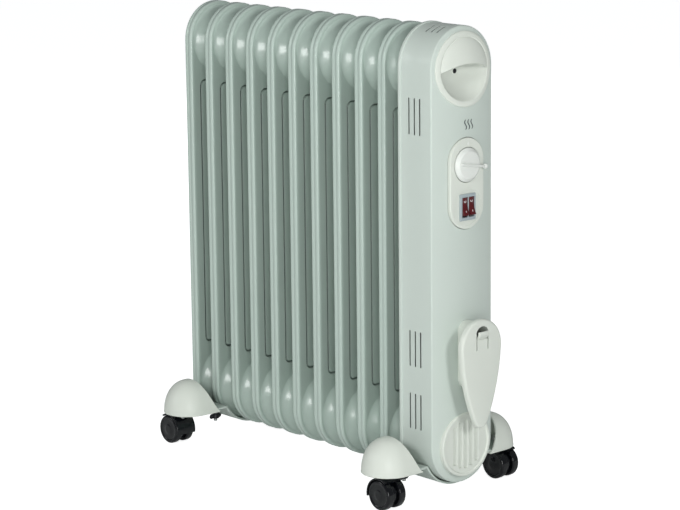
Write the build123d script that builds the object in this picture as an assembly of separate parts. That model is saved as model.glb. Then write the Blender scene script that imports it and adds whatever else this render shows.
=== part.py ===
from build123d import *
import os
from math import cos, radians, sin, sqrt

# Oil filled radiator heater: eleven welded steel fins, a control housing on the front end,
# and two cross bars with foot covers and four twin wheel casters.
# X runs along the heater and the control housing looks to +X. Y is the width, +Z is up.
# "Left" is -Y and "right" is +Y, as seen by someone facing the controls. All sizes in mm.

# ---- driving dimensions -------------------------------------------------------------
FIN_COUNT = 11
FIN_PITCH = 43.0
FIN_HEIGHT = 580.0
FIN_RADIUS = 51.0              # half the width of a fin, and the radius of its round ends
FIN_DEPTH = 13.5               # thickness of a fin over its rim
FLOOR_GAP = 22.0               # floor to the lowest point of the fins
SHEET = 0.8                    # fin sheet

HOUSING_DEPTH = 58.0           # back edge to shoulder
HOUSING_RADIUS = 52.5
HOUSING_WALL = 1.2
CROWN_RISE = 8.0               # how far the front face bulges past the shoulder
WINDER_REACH = 37.0            # shoulder to the front of the cord winder's plate
TONGUE_REACH = 41.0            # and to the lip of its tongue, the foremost point
END_DOME_RISE = 6.5            # closed header domes at both ends of the fin stack

FIRST_FIN_BACK = -56.0         # back of the fin inside the housing, from the shoulder
REAR_REACH = -FIRST_FIN_BACK + (FIN_COUNT - 1) * FIN_PITCH + END_DOME_RISE

# The origin is the bottom centre of the whole heater, so the shoulder plane lies here.
SHOULDER_X = (REAR_REACH - TONGUE_REACH) / 2

LOW_Z = FLOOR_GAP + FIN_RADIUS                    # centre of the bottom round end
HIGH_Z = FLOOR_GAP + FIN_HEIGHT - FIN_RADIUS      # centre of the top round end
MID_Z = (LOW_Z + HIGH_Z) / 2
FIN_GAP = FIN_PITCH - FIN_DEPTH
HALF = FIN_DEPTH / 2

# header domes and the recessed web of a fin
DOME_RADIUS = 43.0
NECK_RADIUS = 20.0
WEB_HALF_WIDTH = 36.0
WEB_END_GAP = 106.0            # fin end to the web

# control side
GRIP_Z = HIGH_Z - 1.0
PANEL_Z = 407.5
KNOB_Z = 431.0
SWITCH_Z = 378.0
GRILLE_Z = LOW_Z - 1.0
WINDER_Z = 203.5
PANEL_FRONT = 10.0
GLAND_Z = 157.0

# feet
FOOT_X = {"front": -43.0, "rear": -448.0}
U_BOLT_X = {"front": -71.5, "rear": -457.75}
SADDLE_RADIUS = {"front": 54.5, "rear": 51.3}
WHEEL_SIDE = {"front": 1, "rear": -1}
BAR_HALF_WIDTH = 31.6
BAR_SHEET = 2.5
WING_BOTTOM = 45.5
STEM_Y = 101.0
U_BOLT_Y = 34.0
WHEEL_RADIUS = 19.5
TRAIL = 12.0
COVER_BEND_Y = 88.5            # where the foot covers start to round off

os.makedirs("parts", exist_ok=True)


def save(shape, name):
    """Move a shape from the shoulder's frame to the heater's frame and write its STEP file."""
    solids = Compound(children=[Pos(SHOULDER_X, 0, 0) * s for s in shape.solids()])
    export_step(solids, f"parts/{name}.step")


def stadium(radius, height, x0, x1, z_mid=MID_Z):
    """Solid slot shape standing on end, from x0 to x1."""
    outline = SlotOverall(height, 2 * radius, rotation=90)
    return extrude(Plane.YZ.offset(x0) * Pos(0, z_mid) * outline, amount=x1 - x0)


def disc(radius, x0, x1, y=0.0, z=0.0):
    """Round solid along X."""
    return extrude(Plane.YZ.offset(x0) * Pos(y, z) * Circle(radius), amount=x1 - x0)


def block(x, y, z):
    """Box from three (low, high) pairs."""
    size = [high - low for low, high in (x, y, z)]
    centre = [(high + low) / 2 for low, high in (x, y, z)]
    return Pos(*centre) * Box(*size)


def turned(points_and_arcs, z):
    """Solid of revolution about the line along X at height z, from lines and arcs in (x, r)."""
    return Pos(0, 0, z) * revolve(make_face(points_and_arcs), Axis.X)


def polyline(*points):
    return Polyline(*[(x, r, 0) for x, r in points])


def arc(*points):
    return ThreePointArc(*[(x, r, 0) for x, r in points])


def cap_arc(rim, top):
    """Arc in (x, r) from a rim point to the axis at x = top, square to the axis there."""
    rim_x, rim_radius = rim
    rise = top - rim_x
    sphere = (rim_radius**2 + rise**2) / (2 * abs(rise))
    drop = sphere - sqrt(sphere**2 - (rim_radius / 2) ** 2)
    halfway_x = top - drop if rise > 0 else top + drop
    return arc(rim, (halfway_x, rim_radius / 2), (top, 0))


# ---- fins -----------------------------------------------------------------------------
def header_dome(inset, rise, z):
    """Round header dome on a fin half: open neck when it joins the next fin, else closed."""
    base = DOME_RADIUS - inset
    if rise > END_DOME_RISE:
        neck = NECK_RADIUS - inset
        top = HALF + rise
        face = [
            polyline((HALF - 2.5, 0), (HALF - 2.5, base), (HALF - inset, base)),
            arc((HALF - inset, base), (HALF + 0.7 * rise - inset, base - 9.0), (top, neck)),
            polyline((top, neck), (top, 0), (HALF - 2.5, 0)),
        ]
    else:
        foot = HALF - inset
        face = [
            polyline((HALF - 2.5, 0), (HALF - 2.5, base), (foot, base)),
            cap_arc((foot, base), foot + rise),
            polyline((foot + rise, 0), (HALF - 2.5, 0)),
        ]
    return turned(face, z)


def half_form(inset, low_rise, high_rise, edge_radius):
    """Outer form of one stamped half, from the weld plane at x = 0 to +x, shrunk by inset."""
    face_x = HALF - inset
    height = FIN_HEIGHT - 2 * inset
    form = stadium(FIN_RADIUS - inset, height, 0, face_x)
    rim = form.faces().sort_by(Axis.X)[-1].edges()
    form = fillet(rim, edge_radius - inset)
    web_height = FIN_HEIGHT - 2 * WEB_END_GAP + 2 * inset
    web_width = 2 * (WEB_HALF_WIDTH + inset)
    web = Plane.YZ.offset(SHEET if inset == 0 else -1) * Pos(0, MID_Z)
    form -= extrude(web * RectangleRounded(web_width, web_height, 8), amount=FIN_DEPTH)
    form += header_dome(inset, low_rise, LOW_Z)
    form += header_dome(inset, high_rise, HIGH_Z)
    return form


def fin_half(low_rise, high_rise, edge_radius):
    return half_form(0, low_rise, high_rise, edge_radius) - half_form(
        SHEET, low_rise, high_rise, edge_radius
    )


def make_fins():
    """Every fin is two stamped halves welded at the rim, joined to its neighbours at the headers."""
    joined = FIN_GAP / 2
    front = fin_half(joined, joined, 4.0)
    back = mirror(fin_half(joined, joined, 2.0), Plane.YZ)
    closed_back = mirror(fin_half(END_DOME_RISE, END_DOME_RISE, 2.0), Plane.YZ)
    heater_hole = disc(15.5, HALF, HALF + FIN_GAP, z=LOW_Z)
    closed_front = fin_half(END_DOME_RISE, END_DOME_RISE, 4.0) - heater_hole
    for number in range(1, FIN_COUNT + 1):
        x = FIRST_FIN_BACK + HALF - (FIN_COUNT - number) * FIN_PITCH
        halves = [closed_back if number == 1 else back, closed_front if number == FIN_COUNT else front]
        save(Compound(children=[Pos(x, 0, 0) * half for half in halves]), f"fin_{number:02d}")


# ---- heater and what the housing holds --------------------------------------------------
LAST_FIN_FRONT = FIRST_FIN_BACK + FIN_DEPTH
PORT_X = LAST_FIN_FRONT + END_DOME_RISE
SHIELD_X = -27.0
ELEMENT_REACH = 370.0


def make_heater():
    """Screw-in flange with two U shaped tubular elements lying in the bottom header."""
    flange = disc(21, PORT_X + 0.1, PORT_X + 5, z=LOW_Z) + disc(15.3, PORT_X - 4, PORT_X + 1, z=LOW_Z)
    elements = []
    for z in (-6.5, 6.5):
        x_end = PORT_X - ELEMENT_REACH
        legs = Polyline((PORT_X + 11, 8, 0), (x_end, 8, 0))
        bend = ThreePointArc((x_end, 8, 0), (x_end - 8, 0, 0), (x_end, -8, 0))
        back = Polyline((x_end, -8, 0), (PORT_X + 11, -8, 0))
        path = Wire([legs.edge(), bend.edge(), back.edge()])
        tube = sweep(Plane(path @ 0, z_dir=path % 0) * Circle(3.6), path=path)
        elements.append(Pos(0, 0, LOW_Z + z) * tube)
        for y in (-8, 8):
            flange -= disc(3.6, PORT_X - 5, PORT_X + 6, y, LOW_Z + z)
    save(flange, "heater_flange")
    save(Compound(children=elements), "heating_elements")


def make_internals():
    shield = stadium(50.6, FIN_HEIGHT - 1, SHIELD_X, SHIELD_X + 1)
    shield -= disc(24, SHIELD_X - 1, SHIELD_X + 2, z=LOW_Z)
    shield -= disc(2.2, SHIELD_X - 1, SHIELD_X + 2, z=GRIP_Z - 4)
    shield -= block((SHIELD_X - 1, SHIELD_X + 2), (44, 52), (GLAND_Z - 11, GLAND_Z + 11))
    save(shield, "heat_shield")

    cutout = disc(8, SHIELD_X + 1, SHIELD_X + 8, y=0, z=128) + block(
        (SHIELD_X + 1, SHIELD_X + 2), (-12, 12), (121, 135)
    )
    save(cutout, "thermal_cutout")

    terminals = block((SHIELD_X + 1, SHIELD_X + 17), (8, 30), (150, 200))
    for z in (158, 170, 182, 194):
        terminals -= disc(2.4, SHIELD_X + 6, SHIELD_X + 20, 19, z)
    save(terminals, "terminal_block")

    save(Compound(children=make_wires()), "internal_wiring")


def make_wires():
    """Three insulated leads: element to terminals, terminals to switch, switch to thermostat."""
    routes = [
        [(-18, 8, 84), (-16, 16, 110), (-20, 19, 149.8)],
        [(-18, 12, 200.2), (-17, 18, 270), (-19, 6, 354)],
        [(-18, -4, 398), (-21.5, -16, 410), (-18, -16, 424)],
    ]
    wires = []
    for route in routes:
        path = FilletPolyline(*route, radius=6)
        wires.append(sweep(Plane(path @ 0, z_dir=path % 0) * Circle(1.5), path=path))
    return wires


# ---- housing ----------------------------------------------------------------------------
def crown(inset):
    """Gently domed front of the housing: a round arc across the width, turned at both ends."""
    edge = HOUSING_RADIUS - inset
    rise = CROWN_RISE - inset
    middle = make_face(
        [
            ThreePointArc((0, -edge, 0), (rise, 0, 0), (0, edge, 0)),
            Line((0, edge, 0), (0, -edge, 0)),
        ]
    )
    end_face = [
        polyline((0, 0), (0, edge)),
        cap_arc((0, edge), rise),
        polyline((rise, 0), (0, 0)),
    ]
    form = extrude(Pos(0, 0, LOW_Z) * middle, amount=HIGH_Z - LOW_Z)
    return form + turned(end_face, LOW_Z) + turned(end_face, HIGH_Z)


def housing_form(inset):
    radius = HOUSING_RADIUS - inset
    height = FIN_HEIGHT + 2 * (radius - FIN_RADIUS)
    return stadium(radius, height, -HOUSING_DEPTH - inset, 0) + crown(inset)


VENT_X = (-39.3, -29.6, -20.0)
VENT_Z = (117.0, 198.0, 492.5)
VENT_LENGTH = 46.0
VENT_WIDTH = 2.0
TOP_VENT_HALF_ANGLE = 14.0


def vent_cutters():
    """Three groups of three slots in each side wall, and one group across the top."""
    cutters = []
    for x in VENT_X:
        for z in VENT_Z:
            low_high = (z - VENT_LENGTH / 2, z + VENT_LENGTH / 2)
            cutters.append(block((x - VENT_WIDTH / 2, x + VENT_WIDTH / 2), (-60, 60), low_high))
        reach = HOUSING_RADIUS * sin(radians(TOP_VENT_HALF_ANGLE))
        high = HIGH_Z + HOUSING_RADIUS
        cutters.append(block((x - VENT_WIDTH / 2, x + VENT_WIDTH / 2), (-reach, reach), (high - 6, high + 6)))
    return cutters


def make_housing():
    shell = housing_form(0) - housing_form(HOUSING_WALL)
    lip_height = FIN_HEIGHT + 2 * (HOUSING_RADIUS - FIN_RADIUS) + 3
    lip = stadium(HOUSING_RADIUS + 1.5, lip_height, -HOUSING_DEPTH, -HOUSING_DEPTH + 4)
    shell += lip - stadium(HOUSING_RADIUS - 0.5, lip_height - 4, -HOUSING_DEPTH - 1, 0)
    for cutter in vent_cutters():
        shell -= cutter
    shell -= disc(40.3, -1, 20, z=GRIP_Z)
    shell -= stadium(29.2, 115.4, 0, 20, PANEL_Z)
    shell -= disc(42.3, -1, 20, z=GRILLE_Z)
    for z in WINDER_SCREW_Z:
        shell -= disc(1.9, 0, 20, z=z)
    shell -= gland_cutter()
    save(shell, "housing_shell")


# ---- grip, panel, knob and switch -------------------------------------------------------
BOWL_RADIUS = 38.0
BOWL_DEPTH = 12.0
HOOD_FRONT = 14.0
RING_PROUD = 1.8               # how far the grip's ring stands off the crowned face
HOOD_EDGE_Z = GRIP_Z + 7.5     # lower edge of the hood at its middle
HOOD_EDGE_DROP = 9.5           # how much lower that edge is where it meets the ring


def cap(front, rim_x, rim_radius):
    """Face between two arcs 2 mm apart, both from the rim to the axis."""
    return [
        cap_arc((rim_x, rim_radius), front),
        polyline((front, 0), (front - 2, 0)),
        cap_arc((rim_x - 2, rim_radius), front - 2),
        polyline((rim_x - 2, rim_radius), (rim_x, rim_radius)),
    ]


def make_grip():
    """Carrying grip in one moulding: ring, hood over the upper half and bowl for the fingers."""
    proud = crown(-RING_PROUD)
    ring = proud & (disc(47, 0, 20, z=GRIP_Z) - disc(40, 0, 20, z=GRIP_Z))
    ring -= crown(0)
    barrel = proud & (disc(40, 0, 20, z=GRIP_Z) - disc(38, 0, 20, z=GRIP_Z))
    bowl = turned(cap(-BOWL_DEPTH, 3.4, BOWL_RADIUS + 1), GRIP_Z)
    hood = turned(cap(HOOD_FRONT, 5.0, BOWL_RADIUS + 1), GRIP_Z)
    half_chord = BOWL_RADIUS + 2
    edge_radius = (half_chord**2 + HOOD_EDGE_DROP**2) / (2 * HOOD_EDGE_DROP)
    hood -= disc(edge_radius, 0, 20, z=HOOD_EDGE_Z - edge_radius)
    insert = ring + barrel + bowl + hood
    insert -= disc(2.2, -20, 0, z=GRIP_Z - 4)
    save(insert, "grip_insert")
    head = disc(4, -11.3, -8.7, z=GRIP_Z - 4) - block((-9.5, -8), (-5, 5), (GRIP_Z - 4.5, GRIP_Z - 3.5))
    save(head + disc(2, -31, -11.0, z=GRIP_Z - 4), "grip_screw")


def make_panel():
    """Control panel tray with a round well for the knob and an opening for the switch."""
    panel = stadium(29, 115, 1.5, PANEL_FRONT, PANEL_Z)
    panel = fillet(panel.faces().sort_by(Axis.X)[-1].edges(), 1.2)
    panel += stadium(31.5, 120, 1.5, 3.0, PANEL_Z)
    panel -= stadium(27, 111, 0, PANEL_FRONT - 2.4, PANEL_Z)
    panel -= disc(22.6, PANEL_FRONT - 1.2, 20, z=KNOB_Z)
    panel -= disc(5.1, 0, 20, z=KNOB_Z)
    panel -= block((0, 20), (-12.1, 12.1), (SWITCH_Z - 15.6, SWITCH_Z + 15.6))
    save(panel, "control_panel")


KNOB_BACK = PANEL_FRONT - 0.8
KNOB_FRONT = PANEL_FRONT + 5.0
LEVER_ANGLE = -9.0
LEVER_REACH = 27.3


def make_knob():
    """Conical knob with a radial rib that runs out to a small ball past its edge."""
    knob = turned(
        [polyline((KNOB_BACK, 0), (KNOB_BACK, 21.6), (KNOB_BACK + 1.5, 21.6), (KNOB_FRONT, 17.5),
                  (KNOB_FRONT, 0), (KNOB_BACK, 0))], 0
    )
    lever = block((KNOB_FRONT - 0.5, KNOB_FRONT + 2), (-15, 22), (-1.3, 1.3))
    lever += block((KNOB_FRONT - 3, KNOB_FRONT + 2), (17, LEVER_REACH), (-2.2, 2.2))
    lever += Pos(KNOB_FRONT - 0.2, LEVER_REACH, 0) * Sphere(3.3)
    knob += lever
    knob -= disc(3, 0, KNOB_FRONT - 2)
    placed = Pos(0, 0, KNOB_Z) * Rot(LEVER_ANGLE, 0, 0) * knob
    save(placed, "thermostat_knob")
    save(disc(3, -8, KNOB_FRONT - 2, z=KNOB_Z), "knob_shaft")

    body = block((-20, -4), (-14, 14), (KNOB_Z - 14, KNOB_Z + 14)) + disc(5, -4, PANEL_FRONT - 1.5, z=KNOB_Z)
    save(body - disc(3.05, -8.1, 20, z=KNOB_Z), "thermostat_body")


PIVOT_X = 6.0
ROCKER_Y = 5.6
ROCKER_HALF_WIDTH = 4.6
ROCKER_TILT = 10.0


def make_switch():
    """Double rocker switch: the frame with two wells, and two rockers resting with the top in."""
    frame = block((-14, PANEL_FRONT), (-12, 12), (-15.5, 15.5))
    frame += fillet(
        block((PANEL_FRONT, PANEL_FRONT + 2), (-13.2, 13.2), (-16.7, 16.7)).edges().filter_by(Axis.X), 1
    )
    for side in (-1, 1):
        low_high = sorted((side * (ROCKER_Y - 4.9), side * (ROCKER_Y + 4.9)))
        frame -= block((-3, 20), low_high, (-12.8, 12.8))
        pin_hole = extrude(Plane.XZ * Pos(PIVOT_X, 0) * Circle(1.05), amount=5.6, both=True)
        frame -= Pos(0, side * ROCKER_Y, 0) * pin_hole
    save(Pos(0, 0, SWITCH_Z) * frame, "switch_frame")
    for side, name in ((-1, "left"), (1, "right")):
        save(Pos(0, side * ROCKER_Y, SWITCH_Z) * rocker(), f"switch_rocker_{name}")


def rocker():
    """One rocker: a shallow V seen from the side, with pivot pins, tilted to its off position."""
    nose = PANEL_FRONT + 2.2 - PIVOT_X
    profile = Plane.XZ * make_face(
        Polyline((-5, -6, 0), (nose - 3, -11.2, 0), (nose + 1.9, -11.2, 0), (nose, 0, 0),
                 (nose + 1.9, 11.2, 0), (nose - 3, 11.2, 0), (-5, 6, 0), (-5, -6, 0))
    )
    body = extrude(profile, amount=ROCKER_HALF_WIDTH, both=True)
    body += extrude(Plane.XZ * Circle(1.0), amount=ROCKER_HALF_WIDTH + 0.8, both=True)
    return Pos(PIVOT_X, 0, 0) * Rot(0, -ROCKER_TILT, 0) * body


# ---- lower grille, cord winder and gland ------------------------------------------------
def make_grille():
    """Round louvred insert at the bottom of the front face."""
    grille = disc(42, -1.0, 9.5, z=GRILLE_Z)
    grille = fillet(grille.faces().sort_by(Axis.X)[-1].edges(), 1.5)
    grille += disc(44, -3.2, -1.0, z=GRILLE_Z)
    grille -= disc(39.8, -4, 7.0, z=GRILLE_Z)
    for index in range(5):
        y = (index - 2) * 10.5
        half_length = 0.62 * sqrt(39**2 - y**2)
        grille -= block((5, 12), (y - 1.6, y + 1.6), (GRILLE_Z - half_length, GRILLE_Z + half_length))
    save(grille, "lower_grille")


WINDER_BACK = WINDER_REACH - 8.0
WINDER_SCREW_Z = (162.0, 192.0)


def winder_outline():
    """Drop shape: a round head and a small round tip, with bowed sides tangent to both."""
    head, tip, bow = 35.0, 11.0, 260.0
    length = 94.5                                  # head centre to tip centre
    bow_z = ((bow - tip) ** 2 - (bow - head) ** 2 - length**2) / (2 * length)
    bow_y = sqrt((bow - head) ** 2 - bow_z**2)
    head_point = (head * bow_y / (bow - head), -head * bow_z / (bow - head))
    tip_point = (tip * bow_y / (bow - tip), -length - tip * (length + bow_z) / (bow - tip))
    mid_z = (head_point[1] + tip_point[1]) / 2
    mid_point = (sqrt(bow**2 - (mid_z - bow_z) ** 2) - bow_y, mid_z)
    curves = []
    for side in (-1, 1):
        points = [(side * y, z) for y, z in (head_point, mid_point, tip_point)]
        curves.append(ThreePointArc(*points))
    curves.append(ThreePointArc((-head_point[0], head_point[1]), (0, head), head_point))
    curves.append(ThreePointArc((-tip_point[0], tip_point[1]), (0, -length - tip), tip_point))
    return Pos(0, WINDER_Z) * make_face(curves)


def make_winder():
    """Cord winder: a drop shaped plate on a hollow oval post, with a spring tongue for the plug."""
    plate = extrude(Plane.YZ.offset(WINDER_BACK) * winder_outline(), amount=WINDER_REACH - WINDER_BACK)
    plate = fillet(plate.faces().sort_by(Axis.X)[-1].edges(), 3)
    window = block((20, 50), (-10.5, 10.5), (213, 230))
    slots = [block((20, 50), (y - 1, y + 1), (200, 214)) for y in (-9.5, 9.5)]
    plate -= window
    for slot in slots:
        plate -= slot
    lip = Plane.XZ.offset(-8.4) * make_face(
        Polyline((33, 213, 0), (37, 213, 0), (40.5, 217, 0), (41, 222, 0), (38.6, 225, 0),
                 (36.8, 223.6, 0), (38, 221, 0), (37, 218, 0), (33, 216, 0), (33, 213, 0))
    )
    plate += extrude(lip, amount=16.8)
    post_height = 62.0
    post = extrude(
        Plane.YZ.offset(CROWN_RISE) * Pos(0, 177) * SlotOverall(post_height, 28, rotation=90),
        amount=WINDER_BACK - CROWN_RISE,
    )
    for z in WINDER_SCREW_Z:
        post -= disc(1.75, 0, 24, z=z)
    save(plate + post, "cord_winder")
    screws = [disc(3.5, 4.2, 6.7, z=z) + disc(1.75, 6.7, 22, z=z) for z in WINDER_SCREW_Z]
    save(Compound(children=screws), "winder_screws")


GLAND_X = -29.6


def along_y(radius, y0, y1):
    """Round solid along Y at the cord gland."""
    return extrude(Plane.XZ.offset(-y0) * Pos(GLAND_X, GLAND_Z) * Circle(radius), amount=-(y1 - y0))


def gland_cutter():
    return along_y(7.0, 45, 60)


def make_gland():
    """Cord gland in the right side wall, with a round bore for the mains cord."""
    gland = along_y(7.0, 46, 53) + along_y(9.5, HOUSING_RADIUS, 56) + along_y(8.5, 46, 50.8)
    save(gland - along_y(3.9, 40, 60), "cord_gland")


# ---- cross bars, U bolts and foot covers ------------------------------------------------
def along_z(radius, x, y, z0, z1):
    return Pos(x, y, (z0 + z1) / 2) * Cylinder(radius, z1 - z0)


def make_crossbar(end):
    """Bent steel strip: a saddle round the bottom of the fins and a flat wing on each side."""
    inner = SADDLE_RADIUS[end]
    x = FOOT_X[end]
    span = (x - BAR_HALF_WIDTH, x + BAR_HALF_WIDTH)
    wing_top = WING_BOTTOM + BAR_SHEET
    bar = disc(inner + BAR_SHEET, *span, z=LOW_Z)
    bar -= block((span[0] - 1, span[1] + 1), (-80, 80), (wing_top, LOW_Z + 80))
    bar += block(span, (-COVER_BEND_Y, COVER_BEND_Y), (WING_BOTTOM, wing_top))
    for side in (-1, 1):
        bar += along_z(BAR_HALF_WIDTH, x, side * COVER_BEND_Y, WING_BOTTOM, wing_top)
    bar -= disc(inner, span[0] - 1, span[1] + 1, z=LOW_Z)
    for side in (-1, 1):
        bar -= along_z(4.06, x, side * STEM_Y, 40, 55)
        bar -= along_z(2.8, U_BOLT_X[end], side * U_BOLT_Y, 5, 42)
    save(bar, f"{end}_crossbar")


def make_u_bolts():
    """U bolts over the bottom headers, each held under its cross bar by two wing nuts."""
    bolts, nuts = [], []
    for end in ("front", "rear"):
        x = U_BOLT_X[end]
        saddle = SADDLE_RADIUS[end] + BAR_SHEET
        nut_top = LOW_Z - sqrt(saddle**2 - (U_BOLT_Y - 4.5) ** 2) - 0.1
        top = ThreePointArc((0, -U_BOLT_Y, LOW_Z), (0, 0, LOW_Z + U_BOLT_Y), (0, U_BOLT_Y, LOW_Z))
        legs = [Line((0, side * U_BOLT_Y, nut_top - 11), (0, side * U_BOLT_Y, LOW_Z)) for side in (-1, 1)]
        path = Wire([legs[0].edge(), top.edge(), legs[1].edge()])
        bolts.append(Pos(x, 0, 0) * sweep(Plane(path @ 0, z_dir=path % 0) * Circle(2.5), path=path))
        for side in (-1, 1):
            nut = Pos(0, 0, 3.5) * Cylinder(5.2, 7)
            nut += fillet(Box(3, 21, 8).edges().filter_by(Axis.X), 2.5)
            nut -= Pos(0, 0, 3.5) * Cylinder(2.5, 20)
            nuts.append(Pos(x, side * U_BOLT_Y, nut_top - 7) * nut)
    save(Compound(children=bolts), "u_bolts")
    save(Compound(children=nuts), "wing_nuts")


COVER_HALF_WIDTH = 34.5
COVER_BASE_Z = 43.0
COVER_HEIGHT = 45.0
COVER_INNER_Y = 60.0
COVER_WALL = 2.0
COVER_FLOOR = 2.4
COVER_LEAN = 24.0              # how much further out the open end is at the top


def helmet(inset, floor_level):
    """Round half at the outer end and the arch that carries it on, above a floor level."""
    radius, spring = COVER_HALF_WIDTH - inset, COVER_HEIGHT - COVER_HALF_WIDTH
    crest, slant = spring + radius, radius * cos(radians(45))
    side = Polyline((0, crest, 0), (0, 0, 0), (radius, 0, 0), (radius, spring, 0))
    quarter_arc = ThreePointArc((radius, spring, 0), (slant, spring + slant, 0), (0, crest, 0))
    quarter = make_face([side, quarter_arc])
    walls = Polyline((-radius, spring, 0), (-radius, 0, 0), (radius, 0, 0), (radius, spring, 0))
    roof = ThreePointArc((radius, spring, 0), (0, crest, 0), (-radius, spring, 0))
    dome = revolve(Plane.XZ * quarter, Axis.Z, 360) & block((-60, 60), (-60, 0), (-1, 60))
    arch = extrude(Plane.XZ * make_face([walls, roof]), amount=-50)
    if floor_level > 0:
        below = block((-60, 60), (-60, 60), (-1, floor_level))
        dome, arch = dome - below, arch - below
    return dome, arch


def make_cover(end, side_name, side):
    """Plastic foot cover: a helmet with a flat floor, cut by a sloping plane at its open end."""
    dome, arch = helmet(0, 0)
    inner_dome, inner_arch = helmet(COVER_WALL, COVER_FLOOR)
    foot = (COVER_BEND_Y - COVER_INNER_Y, -1)
    top = (foot[0] - COVER_LEAN, COVER_HEIGHT + 1)
    beyond = Polyline(foot, top, (60, top[1]), (60, foot[1]), foot)
    opening = extrude(Plane.YZ.offset(-60) * make_face(beyond), amount=120)
    cover = (dome - inner_dome) + ((arch - inner_arch) - opening)
    cover -= along_z(4.6, 0, COVER_BEND_Y - STEM_Y, -3, 4)
    cover = Pos(0, -COVER_BEND_Y, COVER_BASE_Z) * cover
    if side > 0:
        cover = mirror(cover, Plane.XZ)
    save(Pos(FOOT_X[end], 0, 0) * cover, f"foot_cover_{end}_{side_name}")


# ---- casters ----------------------------------------------------------------------------
HOOD_INNER = WHEEL_RADIUS + 0.8
HOOD_OUTER = WHEEL_RADIUS + 2.2
WHEEL_WIDTH = 11.0
WHEEL_Y = 10.0


def ring_sector(inner, outer, half_width, start, end):
    """Part of a ring about the wheel axis, between two angles counted from +x."""
    points = [(60 * cos(radians(a)), 60 * sin(radians(a)), 0) for a in (start, (start + end) / 2, end)]
    wedge = Plane.XZ * make_face(Polyline((0, 0, 0), *points, (0, 0, 0)))
    ring = Plane.XZ * (Circle(outer) - Circle(inner))
    return extrude(ring, amount=half_width, both=True) & extrude(wedge, amount=half_width + 5, both=True)


def caster_yoke():
    """Hood and central web, with the axle on the origin and the stem on the +x side."""
    yoke = extrude(Plane.XZ * Circle(15), amount=3.2, both=True)
    yoke += ring_sector(HOOD_INNER, HOOD_OUTER, 15.3, -8, 112)
    yoke += ring_sector(10, HOOD_INNER + 0.5, 3.2, -8, 112)
    yoke += along_z(12, TRAIL, 0, HOOD_INNER, HOOD_OUTER + 1.0)
    yoke -= along_z(4, TRAIL, 0, 12.5, 30)
    yoke -= extrude(Plane.XZ * Circle(2.5), amount=5, both=True)
    return yoke


def caster_stem():
    return along_z(4, TRAIL, 0, 12.5, 35) + along_z(6.5, TRAIL, 0, 28.9, 30.5)


def caster_wheel(side):
    """One wheel with a rounded tread and a domed hub, its bore closed on the outside."""
    tread = extrude(Plane.XZ * Circle(WHEEL_RADIUS), amount=WHEEL_WIDTH / 2, both=True)
    tread = fillet(tread.edges(), 1.8)
    bore_length = WHEEL_WIDTH - 3
    bore = extrude(Plane.XZ * Circle(2.55), amount=bore_length / 2, both=True)
    return Pos(0, side * WHEEL_Y, 0) * (tread - Pos(0, -side * 1.6, 0) * bore)


def make_caster(end, side_name, side):
    """Twin wheel caster under one foot cover: yoke, stem, axle and two wheels."""
    direction = WHEEL_SIDE[end]
    turn = Rot(0, 0, 180) if direction > 0 else Rot(0, 0, 0)
    place = Pos(FOOT_X[end] + direction * TRAIL, side * STEM_Y, WHEEL_RADIUS) * turn
    tag = f"{end}_{side_name}"
    axle = extrude(Plane.XZ * Circle(2.5), amount=WHEEL_Y + 1.2, both=True)
    save(place * caster_yoke(), f"caster_yoke_{tag}")
    save(place * caster_stem(), f"caster_stem_{tag}")
    save(place * axle, f"caster_axle_{tag}")
    for wheel_side, wheel_name in ((-1, "a"), (1, "b")):
        save(place * caster_wheel(wheel_side), f"caster_wheel_{tag}_{wheel_name}")


make_fins()
make_heater()
make_internals()
make_housing()
make_grip()
make_panel()
make_knob()
make_switch()
make_grille()
make_winder()
make_gland()
make_u_bolts()
for end in ("front", "rear"):
    make_crossbar(end)
    for side_name, side in (("left", -1), ("right", 1)):
        make_cover(end, side_name, side)
        make_caster(end, side_name, side)
print("nodes written:", len(os.listdir("parts")))
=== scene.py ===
# %% [markdown]
# # An oil filled radiator heater
# The heater is a row of eleven pressed steel fins with a rounded control housing at one end. It
# stands on two steel crossbars with four plastic feet and four twin wheel casters. The packed
# model gives every place and every moving body. This lesson replaces its plain solids with
# smoother surfaces, because what the eye reads on a glossy painted fin is the way a highlight
# runs over its rim and its round header.

# %% Load the frame
from math import cos, pi, radians, sin, sqrt
import bmesh
import bpy
import numpy as np
from mathutils import Matrix, Vector


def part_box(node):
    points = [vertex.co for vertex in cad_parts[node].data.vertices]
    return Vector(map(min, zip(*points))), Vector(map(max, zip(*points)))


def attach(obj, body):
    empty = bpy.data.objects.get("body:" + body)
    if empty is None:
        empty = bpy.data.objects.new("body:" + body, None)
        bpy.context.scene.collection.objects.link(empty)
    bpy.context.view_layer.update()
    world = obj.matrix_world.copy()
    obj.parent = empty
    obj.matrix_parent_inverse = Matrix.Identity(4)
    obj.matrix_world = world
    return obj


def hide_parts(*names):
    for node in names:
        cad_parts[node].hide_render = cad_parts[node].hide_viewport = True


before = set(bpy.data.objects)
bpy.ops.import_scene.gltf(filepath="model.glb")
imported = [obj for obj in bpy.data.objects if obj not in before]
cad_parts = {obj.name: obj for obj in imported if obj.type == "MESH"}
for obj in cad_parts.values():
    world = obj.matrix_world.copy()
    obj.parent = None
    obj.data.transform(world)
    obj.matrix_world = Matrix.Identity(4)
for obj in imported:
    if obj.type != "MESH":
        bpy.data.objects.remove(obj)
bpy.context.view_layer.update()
MM = 0.001
CROWN_RISE = 8.0
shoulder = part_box("housing_shell")[1][0] - CROWN_RISE * MM

# %% [markdown]
# ## Working in millimetres
# Shapes are easier to think about in millimetres, measured from the shoulder of the housing,
# where its side wall turns into the crowned front. Every shape below is an array of such points,
# and one function moves them all to the frame. A grid of points becomes quads, and a list of
# parts becomes one mesh.

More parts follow.
